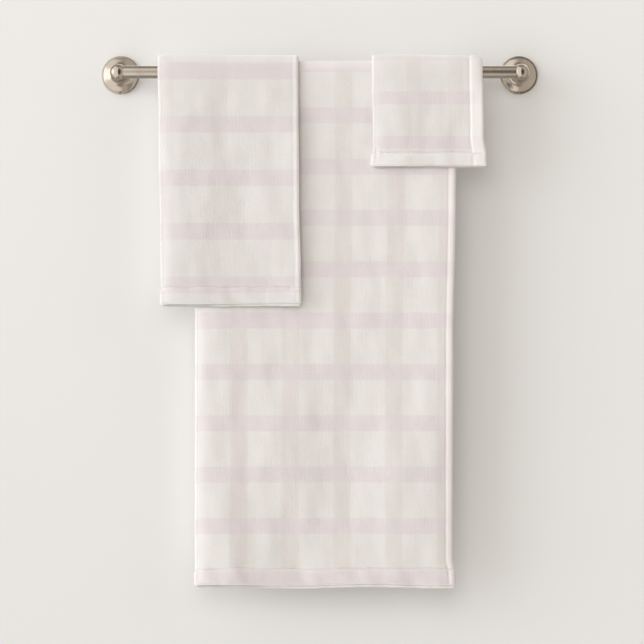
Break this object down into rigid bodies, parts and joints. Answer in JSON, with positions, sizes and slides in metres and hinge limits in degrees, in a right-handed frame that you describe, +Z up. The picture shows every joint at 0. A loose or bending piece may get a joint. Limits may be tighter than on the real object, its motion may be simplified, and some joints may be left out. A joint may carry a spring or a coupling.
{
  "type": "bath towel set",
  "caption": "Bath towel, hand towel and washcloth, folded lengthwise and hung side by side over a wall-mounted towel bar.",
  "frame": {"origin": "on the wall plane, midway between the two posts, level with the bar's axis", "axes": "+X along the bar to the viewer's right, +Y into the wall, +Z up"},
  "size_m": [0.6686, 0.1185, 0.8073],
  "materials": {
    "bar_nickel": "brushed nickel plate, satin, warm grey",
    "zinc_plate": "bright zinc plate on steel",
    "set_screw_steel": "plain hardened steel",
    "bath_towel_print": "microfibre terry printed with a pale plaid, white reverse",
    "hand_towel_print": "microfibre terry printed with a pale plaid, white reverse",
    "washcloth_print": "microfibre terry printed with a pale plaid, white reverse"
  },
  "bodies": {
    "wall_fittings": {"left_post": "bar_nickel", "right_post": "bar_nickel", "left_wall_bracket": "zinc_plate", "right_wall_bracket": "zinc_plate", "left_upper_wall_screw": "zinc_plate", "left_lower_wall_screw": "zinc_plate", "right_upper_wall_screw": "zinc_plate", "right_lower_wall_screw": "zinc_plate", "left_set_screw": "set_screw_steel", "right_set_screw": "set_screw_steel"},
    "bar": {"bar_tube": "bar_nickel"},
    "bath_towel": {"bath_towel_cloth": "bath_towel_print", "bath_towel_front_hem": "bath_towel_print", "bath_towel_back_hem": "bath_towel_print"},
    "hand_towel": {"hand_towel_cloth": "hand_towel_print", "hand_towel_front_hem": "hand_towel_print", "hand_towel_back_hem": "hand_towel_print"},
    "washcloth": {"washcloth_cloth": "washcloth_print", "washcloth_front_hem": "washcloth_print", "washcloth_back_hem": "washcloth_print", "washcloth_side_hem": "washcloth_print"}
  },
  "joints": [
    {"name": "bar_tube_spin", "type": "hinge", "parent": "wall_fittings", "child": "bar", "pos_m": [0, -0.065, 0], "axis": [1, 0, 0], "continuous": true},
    {"name": "bath_towel_slide", "type": "slide", "parent": "wall_fittings", "child": "bath_towel", "axis": [1, 0, 0], "range_m": [-0.09, 0.08]},
    {"name": "hand_towel_slide", "type": "slide", "parent": "wall_fittings", "child": "hand_towel", "axis": [1, 0, 0], "range_m": [-0.045, 0.05]},
    {"name": "washcloth_slide", "type": "slide", "parent": "wall_fittings", "child": "washcloth", "axis": [1, 0, 0], "range_m": [-0.05, 0.04]}
  ]
}
